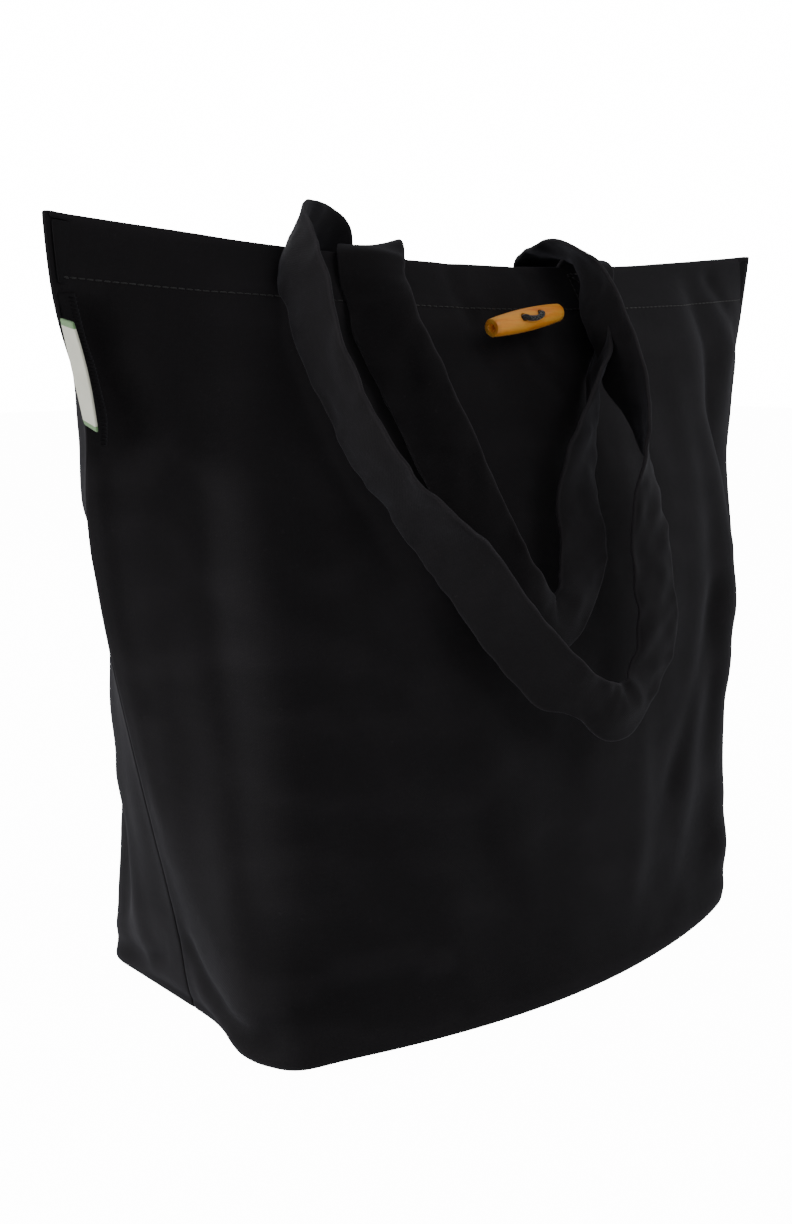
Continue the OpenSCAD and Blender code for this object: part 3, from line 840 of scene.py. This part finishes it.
def strapMesh(name, path, widths, thickness, seed=0.0, crease=0.0, pulls=()):
    # a flat folded strap swept along a path; the width directions come with the path
    half, th = handles["width"] / 2, thickness / 2
    edge = min(th, crumple["edge"])
    face = [(-half + edge * 0.15, -edge * 0.8), (-half + edge, -th), (-half * 0.72, -th * 0.93),
            (-half * 0.35, -th * 0.86), (0, -th * 0.84)]
    face = face + [(-x, y) for x, y in reversed(face[:-1])]
    profile = face + [(half, 0.0)] + [(x, -y) for x, y in reversed(face)] + [(-half, 0.0)]
    around = len(profile)
    reach = distances(np.array(path))
    bm = bmesh.new()
    layer = bm.loops.layers.uv.new("cloth")
    rings, edge_tone = [], []
    # crumples fade out where the strap is sewn down
    free = smoothstep(0.008, 0.03, reach) * smoothstep(0.008, 0.03, reach[-1] - reach) * (1 if seed else 0)
    for i, at in enumerate(reach):
        g = heading(path, i)
        s = squareTo(widths[i], g)
        f = np.cross(g, s)
        ring = []
        for k, (px, py) in enumerate(profile):
            ridge = 1 - abs(ripple(px * 70 + at * 30, at * 42, seed + 13)) * 2
            wave = (ripple(px * 45, at * 26, seed) * crumple["wave"]
                    + abs(ripple(px * 60, at * 48, seed + 5)) * crumple["pucker"]
                    + max(ridge, 0) ** 3 * crumple["ridge"] + ripple(px * 150, at * 110, seed + 9) * crumple["fine"])
            slip = (ripple(at * 34, 2.0 if px < 0 else 7.0, seed) * crumple["slip"]
                    + ripple(at * 95, 4.0 if px < 0 else 9.0, seed) * crumple["fray"])
            if px < 0:
                slip -= sum(by * math.exp(-((at - place) / spread) ** 2) for place, by, spread in pulls)
            bow = crease * (1 - (px / half) ** 2)
            ring.append(bm.verts.new(path[i] + s * (px * (1 + slip / half * free[i]))
                                     + f * (py + (bow + wave) * free[i])))
            # the folded edges are painted lighter: partly rubbed wear, partly a painted highlight
            edge_tone.append(crumple["edgeWearAndHighlight"] if k in crumple["wornAndLitPoints"] else 0.0)
        rings.append(ring)

    def weave(a, b):
        b = b % around
        return profile[b][0] + half + (0.04 if b > 9 else 0), reach[a]

    skin(bm, rings, layer, weave)
    obj = newObject(name, bm, strapMat)
    setEdgeTone(obj, edge_tone)
    subdivide(obj)
    return obj, float(reach[-1])


for side, word in ((-1, "front"), (1, "back")):
    parts = []
    for x in (-handles["x"], handles["x"]):
        u, depth = mouthU(x), handles["tailDepth"]
        path, widths = [], []
        for t in np.linspace(hemStart + 0.004, 0.997, 12):
            path.append(onWall(side, u, t, depth)[0])
            widths.append((onWall(side, u + 0.01, t, depth)[0] - onWall(side, u - 0.01, t, depth)[0]) * -side)
        parts.append(strapMesh(word + "_tail", path, widths, handles["tailThickness"])[0])
    # both ends are one piece
    tails, other = parts
    bm = bmesh.new()
    for part in parts:
        bm.from_mesh(part.data)
    bm.to_mesh(tails.data)
    bm.free()
    bpy.data.objects.remove(other)
    tails.name = word + "_handle_tails"
    standFor(tails, word + "_handle_tails", "bag")

# Routes in mm: x, y, z, the width's angle from +X towards +Z, and how far the strap is turned about its run
frontRoute = [
    (-70, -31.2, 349, 0, 0), (-70, -31.8, 354, 0, 0), (-72, -34.6, 357.6, 0, 4), (-75, -38.5, 357.6, 0, 10),
    (-80, -44, 353, 0, 20), (-85, -52, 341, 0, 34), (-86, -62, 323, 2, 40), (-80, -70, 303, 10, 40),
    (-73, -79, 280, 16, 38), (-66, -88, 255, 20, 34), (-57, -96, 228, 28, 26), (-44, -102, 203, 50, 14),
    (-22, -105, 187, 90, 0), (-3, -103, 198, 130, -6), (3, -99, 222, 172, -8), (6, -92, 245, 168, 0),
    (17, -86, 267, 155, 20), (33, -78, 290, 155, 46), (45, -69, 310, 155, 58), (56, -58, 328, 170, 44),
    (64, -49, 343, 180, 20), (69, -43, 354, 180, 4), (71, -38.5, 357.6, 180, 0), (70, -34.6, 357.6, 180, 0),
    (70, -31.8, 354, 180, 0), (70, -31.2, 349, 180, 0),
]
backRoute = [
    (-70, -2.0, 347, 0, 0), (-70, -1.5, 353, 0, 0), (-72, -3.0, 358, 0, 8), (-80, -10, 362, 0, 40),
    (-95, -20, 364, 0, 72),
    (-111, -32, 362, 0, 84), (-122, -43, 356, 0, 86), (-128, -53, 346, 0, 88), (-130, -65, 328, 0, 88),
    (-128, -74, 308, 8, 86), (-122, -82, 288, 20, 84), (-114, -90, 266, 28, 88), (-98, -98, 243, 34, 78),
    (-76, -104, 220, 38, 54), (-57, -109, 194, 42, 44), (-35, -114, 169, 46, 30), (-13, -117, 151, 54, 14),
    (10, -119, 143, 84, 0), (29, -119, 153, 135, -6), (38, -118, 174, 168, -4), (38, -115, 198, 180, 2),
    (37, -112, 224, 180, 8), (40, -106, 252, 176, 26), (43, -99, 280, 172, 56), (42, -89, 303, 170, 76),
    (43, -76, 325, 175, 78), (45, -63, 343, 180, 70), (48, -50, 353.5, 180, 46), (56, -33, 359, 180, 16),
    (64, -15, 359.5, 180, 4), (69, -5, 357, 180, 0), (70, -1.5, 352, 180, 0), (70, -2.0, 347, 180, 0),
]


def makeHandle(name, route, seed, bend, pull):
    fine = catmull([(x / 1000, y / 1000, z / 1000, a, b) for x, y, z, a, b in route], 12)
    fine = resample(fine, 0.003)
    path = list(fine[:, :3])
    widths = []
    for i, (angle, turn) in enumerate(np.radians(fine[:, 3:])):
        g = heading(path, i)
        s = squareTo(np.array([math.cos(angle), 0, math.sin(angle)]), g)
        widths.append(s * math.cos(turn) + np.cross(g, s) * math.sin(turn))
    # the outer edge is pulled in on both sides of the lowest bend, which makes it sharp
    lowest = distances(fine)[int(np.argmin(fine[:, 2]))] + bend
    pulls = [(lowest + way * pull["away"], pull["by"], pull["spread"]) for way in (-1, 1)]
    obj, length = strapMesh(name, path, widths, handles["thickness"], seed, crumple["crease"], pulls)
    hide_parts(name)
    return obj, length


frontHandle, frontLength = makeHandle("front_handle", frontRoute, 3.0, 0.0,
                                      {"away": 0.02, "by": 0.003, "spread": 0.014})
backHandle, backLength = makeHandle("back_handle", backRoute, 8.0, -0.002,
                                    {"away": 0.021, "by": 0.0065, "spread": 0.015})
print("handles made, front", round(frontLength, 3), "m, back", round(backLength, 3), "m")
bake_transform(frontHandle)
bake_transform(backHandle)

# The toggle is a drilled barrel on a cord that comes through the front panel
barrel = {"length": 0.050, "middle": 0.011, "end": 0.0085, "out": 0.011, "tilt": 10, "holes": 0.0125,
          "hole": 0.0017, "flare": 0.0024, "bore": 0.0016, "boreDepth": 0.007, "edge": 0.0007, "worn": 0.0012}
togglePlace = np.array(joints["toggle_turn"]["pos_m"])
toggleOut = np.array(joints["toggle_turn"]["axis"])
right = np.array([1.0, 0, 0])
toggleUp = np.cross(toggleOut, right)
tilt = math.radians(barrel["tilt"])
toggleX = right * math.cos(tilt) + toggleUp * math.sin(tilt)
toggleY = np.cross(toggleOut, toggleX)


def onToggle(x, y, z):
    return togglePlace + toggleX * x + toggleY * y + toggleOut * z


def turned(name, profile, centre, axis, outwards, steps):
    # spins a profile of places along an axis and radii, as on a lathe
    bm = bmesh.new()
    verts = [bm.verts.new(centre + axis * x + outwards * r) for x, r in profile]
    edges = [bm.edges.new(pair) for pair in zip(verts[:-1], verts[1:])]
    bmesh.ops.spin(bm, geom=verts + edges, cent=centre, axis=axis, angle=2 * math.pi, steps=steps, use_merge=True)
    bmesh.ops.remove_doubles(bm, verts=bm.verts, dist=1e-6)
    return newObject(name, bm, woodMat)


def makeToggle():
    half, crown = barrel["length"] / 2, (barrel["middle"] - barrel["end"]) / 2
    endR, e, bore = barrel["end"] / 2, barrel["edge"], barrel["bore"]
    end = [(half - e * 0.3, endR - e * 0.3), (half, endR - e), (half, bore + 0.0005), (half - 0.0008, bore),
           (half - barrel["boreDepth"], bore), (half - barrel["boreDepth"], 0.0)]
    curve = [((half - e) * i / 10, barrel["middle"] / 2 - crown * ((half - e) * i / 10 / half) ** 2)
             for i in range(-10, 11)]
    profile = [(-x, r) for x, r in reversed(end)] + curve + end
    body = turned("toggle", profile, onToggle(0, 0, barrel["out"]), toggleX, toggleY, 64)
    # two holes across it for the cord, flared at both faces
    drill = [(0.009, 0.0), (0.009, barrel["flare"]), (0.0052, 0.0021), (0.0046, barrel["hole"])]
    drill = [(-z, r) for z, r in drill] + drill[::-1]
    cutters = [turned("cutter", drill, onToggle(x, 0, barrel["out"]), toggleOut, toggleX, 40)
               for x in (-barrel["holes"] / 2, barrel["holes"] / 2)]
    for cutter in cutters:
        cut = body.modifiers.new("hole", "BOOLEAN")
        cut.operation = "DIFFERENCE"
        cut.solver = "EXACT"
        cut.object = cutter
    shaped = finishedMesh(body)
    for cutter in cutters:
        bpy.data.objects.remove(cutter)
    edge_tone = []
    for v in shaped.vertices:
        local = np.array(v.co) - togglePlace
        x, y = abs(np.dot(local, toggleX)), np.dot(local, toggleY)
        z = np.dot(local, toggleOut) - barrel["out"]
        nearEnd = max(0.0, 1 - (half - x) / barrel["worn"])
        nearHole = max(0.0, 1 - (math.hypot(x - barrel["holes"] / 2, y) - barrel["hole"]) / barrel["worn"])
        edge_tone.append(min(1.0, max(nearEnd, nearHole * (1 if abs(z) > 0.003 else 1.2))))
    setEdgeTone(body, edge_tone)
    shaped.set_sharp_from_angle(angle=math.radians(35))
    standFor(body, "toggle", "toggle")


makeToggle()


def tube(name, path, radius, sidesRound=14):
    # a round cord along a fine path
    reach = distances(np.array(path))
    bm = bmesh.new()
    layer = bm.loops.layers.uv.new("cloth")
    rings = []
    a = np.array([0.0, 1.0, 0.0])
    for i in range(len(path)):
        g = heading(path, i)
        a = squareTo(a, g)
        shrink = 0.92 if i in (0, len(path) - 1) else 1.0
        rings.append(circle(bm, path[i], a, np.cross(g, a), radius * shrink, sidesRound))
    skin(bm, rings, layer, lambda a, b: (b / sidesRound, reach[a]))
    return newObject(name, bm, cordMat), float(reach[-1])


cord = {"diameter": 0.0026, "knot": 0.0021, "knotSquash": 0.95}
# Half of the toggle's cord from the knot to the middle: along the toggle, up it and out from the panel
hx = barrel["holes"] / 2
halfCord = [(-0.0016, 0, -0.0045), (-0.0017, 0, -0.0010), (-0.0026, 0, 0.0024), (-hx, 0, 0.0055), (-hx, 0, 0.0110),
            (-hx, 0, 0.0158), (-hx + 0.0004, -0.0006, 0.0174), (-0.0042, -0.0016, 0.0177)]
cordRoute = halfCord + [(0.0, -0.0022, 0.0178)] + [(-x, y, z) for x, y, z in reversed(halfCord)]
cordPath = resample(catmull([onToggle(*p) for p in cordRoute], 8), 0.0006)
toggleCord, toggleCordLength = tube("toggle_cord", cordPath, cord["diameter"] / 2)
standFor(toggleCord, "toggle_cord", "toggle")


def knotPath(centre, ax, ay, az, size):
    # a small overhand knot: a trefoil wound tight
    pts = []
    for a in np.linspace(0, 2 * math.pi, 97)[:-1]:
        x = math.sin(a) + 2 * math.sin(2 * a)
        y = math.cos(a) - 2 * math.cos(2 * a)
        pts.append(centre + (ax * x + ay * y) * size / 3 - az * math.sin(3 * a) * size / 2.2)
    return np.array(pts)


knotCentre = np.mean(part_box("toggle_knot"), axis=0)
knot, _ = tube("toggle_knot", knotPath(knotCentre, right, toggleUp, toggleOut, cord["knot"]),
               cord["diameter"] / 2 * cord["knotSquash"], 12)
standFor(knot, "toggle_knot", "bag")

# The closure loop, in mm from its joint: half of it, from the tack to the bottom
loopPlace = np.array(joints["closure_loop_swing"]["pos_m"])
halfLoop = [(-1.7, 0, 0), (-2, 0, -8), (-3.6, 0, -16), (-6.6, 0, -25), (-7.6, 0, -32), (-5.6, 0, -39)]
loopRoute = halfLoop + [(0, 0, -43)] + [(-x, y, z) for x, y, z in reversed(halfLoop)]
loopPath = resample(catmull([loopPlace + np.array(p) / 1000 for p in loopRoute], 10), 0.001)
closureLoop, loopLength = tube("closure_loop", loopPath, cord["diameter"] / 2)
standFor(closureLoop, "closure_loop", "closure_loop")

barTack = {"up": 0.72, "depth": 0.0032, "half": 0.0035, "rows": 7, "apart": 0.0006, "posts": 0.0018,
           "stitch": 0.0066, "postStitch": 0.0048, "gap": 0.0005, "radius": 0.0004, "postRadius": 0.0006}
barTackBase = hemStart + barTack["up"] * (1 - hemStart)
bm = bmesh.new()
places = [onWall(1, mouthU(x), barTackBase, barTack["depth"])
          for x in np.linspace(-barTack["half"], barTack["half"], 8)]
for k in range(barTack["rows"]):
    lift = up * barTack["apart"] * (k - barTack["rows"] // 2)
    stitchRow(bm, [(p + lift, -n) for p, n in places], barTack["stitch"], barTack["gap"], barTack["radius"])
for x in (-barTack["posts"], barTack["posts"]):
    p, n = onWall(1, mouthU(x), barTackBase, barTack["depth"])
    post = [(p + up * z, -n) for z in (-0.0026, -0.001, 0.001, 0.0026)]
    stitchRow(bm, post, barTack["postStitch"], barTack["gap"], barTack["postRadius"])
standFor(newObject("closure_loop_tack", bm, threadMat), "closure_loop_tack", "bag")
print("toggle, cords and knot made")

# Seam allowances inside, with overlocked edges
overlock = {"thickness": 0.0011, "pitch": 0.0016, "deep": 0.0030, "edge": 0.0005, "over": 0.0003, "clear": 0.0002,
            "slant": 0.0004, "thread": 0.00028, "wave": 0.0012, "rows": 5}


def allowance(name, inner, outer):
    # a strip between two lines, with thread looped over its free edge
    inner, outer = np.array(inner), np.array(outer)
    steps = np.linspace(0, 1, overlock["rows"])
    grid = np.array([inner * (1 - w) + outer * w for w in steps])
    for i in range(grid.shape[1]):
        wave = ripple(i * 0.35, 3.1, 0.7) * overlock["wave"]
        grid[:, i] += unit(np.cross(outer[i] - inner[i], heading(inner, i))) * wave * steps[:, None]
    obj = clothSheet(name, grid, np.linspace(0, 0.3, grid.shape[1]), steps * 0.008, hemMat)
    thicken(obj, overlock["thickness"], 0)
    shaped = finishedMesh(obj)
    # slanted loops of thread from one face to the other
    edgeLine, backLine = resample(grid[-1], overlock["pitch"]), resample(grid[-2], overlock["pitch"])
    bm = bmesh.new()
    bm.from_mesh(shaped)
    for i in range(1, min(len(edgeLine), len(backLine)) - 1):
        g = heading(edgeLine, i)
        inward = unit(backLine[i] - edgeLine[i])
        out = np.cross(g, inward) * (overlock["thickness"] / 2 + overlock["clear"])
        deep, edge = inward * overlock["deep"], inward * overlock["edge"]
        pts = edgeLine[i] + np.array([deep + out + g * overlock["slant"], edge + out, -inward * overlock["over"],
                                      edge - out, deep - out - g * overlock["slant"]])
        rings = []
        for k, p in enumerate(pts):
            a = unit(np.cross(heading(pts, k), g))
            rings.append(circle(bm, p, a, g, overlock["thread"], 4))
        skin(bm, rings)
    bm.to_mesh(shaped)
    bm.free()
    for poly in shaped.polygons:
        poly.use_smooth = True
    standFor(obj, name, "bag")


for c, name in ((0, "left_side_seam"), (columns, "right_side_seam")):
    inward = right if c == 0 else -right
    places = np.interp(np.linspace(0.05, hemStart - 0.012, 70), wallHeights, np.arange(rows))
    line = np.stack([np.interp(places, np.arange(rows), walls[-1][:, c, k]) for k in range(3)], 1)
    allowance(name, line + inward * 0.0022, line + inward * 0.0098)
for name in ("bottom_seam", "left_corner_seam", "right_corner_seam"):
    low, high = (np.array(v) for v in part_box(name))
    middle = (low + high) / 2
    if name == "bottom_seam":
        line = np.array([[x, middle[1], 0] for x in np.linspace(low[0], high[0], 60)])
    else:
        line = np.array([[middle[0], y, 0] for y in np.linspace(low[1], high[1], 36)])
    allowance(name, line + up * low[2], line + up * high[2])
print("inner seams made")

# The side label: a folded tape whose ends are sewn into the left seam
tape = {"length": 0.043, "out": 0.0205, "angle": -106, "thickness": 0.0004, "gap": 0.00075, "start": 0.03,
        "drawnIn": 0.0072, "inwards": (0.6, -0.8, 0), "straightens": 0.6, "lean": 0.0012, "rows": 15}
labelFoot = np.array(joints["side_label_flip"]["pos_m"])
labelUp = unit(np.array(joints["side_label_flip"]["axis"]))
aim = math.radians(tape["angle"])
labelOut = squareTo(np.array([math.cos(aim), math.sin(aim), 0.0]), labelUp)
labelSide = np.cross(labelUp, labelOut)
gap = tape["gap"] / 2
leaf = [(tape["out"] * w, gap * (0.4 + 0.6 * w)) for w in np.linspace(tape["start"], 1, 9)[:-1]]
profile = [(x, -y) for x, y in leaf]
profile += [(tape["out"] + gap * math.cos(a), gap * math.sin(a)) for a in np.radians(np.linspace(-90, 90, 7))]
profile += leaf[::-1]
across, along = np.linspace(0, 2 * tape["out"], len(profile)), np.linspace(0, tape["length"], tape["rows"])
grid = []
for h in along:
    lean = tape["lean"] * math.sin(h / tape["length"] * 3.0)
    drawn = tape["drawnIn"] * (1 - tape["straightens"] * h / tape["length"])
    foot = labelFoot + labelUp * h + np.array(tape["inwards"]) * drawn
    grid.append([foot + labelOut * x + labelSide * (y + lean * (x / tape["out"]) ** 2) for x, y in profile])
label = clothSheet("side_label", np.array(grid), across, along, labelMat)
thicken(label, tape["thickness"], 0)
subdivide(label)
standFor(label, "side_label", "side_label")
print("label made")

# Floor, light and camera
studio = {"floor": (0.9, 0.9, 0.9, 1), "white": (1, 1, 1, 1), "size": 6.0, "glow": 14.0,
          "sky": 0.31, "seenSky": 16.0}
bm = bmesh.new()
bmesh.ops.create_grid(bm, x_segments=1, y_segments=1, size=studio["size"])
floorMat, tree, shader = newMaterial("pale_floor")
seen = addNode(tree, "LightPath").outputs["Is Camera Ray"]
setInputs(shader, {"Base Color": studio["floor"], "Roughness": 0.7, "Emission Color": studio["white"],
                   "Emission Strength": calc(tree, "MULTIPLY", seen, studio["glow"])})
newObject("floor", bm, floorMat, smooth=False)

world = bpy.data.worlds.new("studio")
scene.world = world
world.use_nodes = True
tree = world.node_tree
seen = addNode(tree, "LightPath").outputs["Is Camera Ray"]
sky = calc(tree, "MULTIPLY_ADD", seen, studio["seenSky"] - studio["sky"], studio["sky"])
setInputs(tree.nodes["Background"], {"Color": studio["white"], "Strength": sky})

# power, width and height, place, and what it points at
lamps = {
    "key_light": (5.0, (0.9, 0.9), (0.1, -1.3, 1.25), (0, 0, 0.2)),
    "rim_light": (13.5, (0.7, 1.2), (-1.35, 0.35, 0.55), (-0.1, 0, 0.2)),
    "back_light": (6.0, (1.0, 1.0), (0.35, 1.5, 1.0), (0, 0, 0.2)),
    "right_rim": (2.4, (0.5, 1.0), (1.3, -0.5, 0.5), (0.1, 0, 0.2)),
}
for name, (power, size, place, target) in lamps.items():
    data = bpy.data.lights.new(name, "AREA")
    data.energy = power
    data.shape = "RECTANGLE"
    data.size, data.size_y = size
    lamp = bpy.data.objects.new(name, data)
    collection.objects.link(lamp)
    lamp.location = place
    lamp.rotation_euler = (Vector(target) - Vector(place)).to_track_quat("-Z", "Y").to_euler()

view = {"place": (-0.509, -0.554, 0.314), "turn": 41.05, "down": 10.37, "lens": 42.7, "sensor": 36}
lens = bpy.data.cameras.new("camera")
lens.lens = view["lens"]
lens.sensor_width = view["sensor"]
lens.clip_start = 0.01
camera = bpy.data.objects.new("camera", lens)
collection.objects.link(camera)
camera.location = view["place"]
camera.rotation_euler = (math.radians(90 - view["down"]), 0, -math.radians(view["turn"]))
scene.camera = camera
print("studio made")
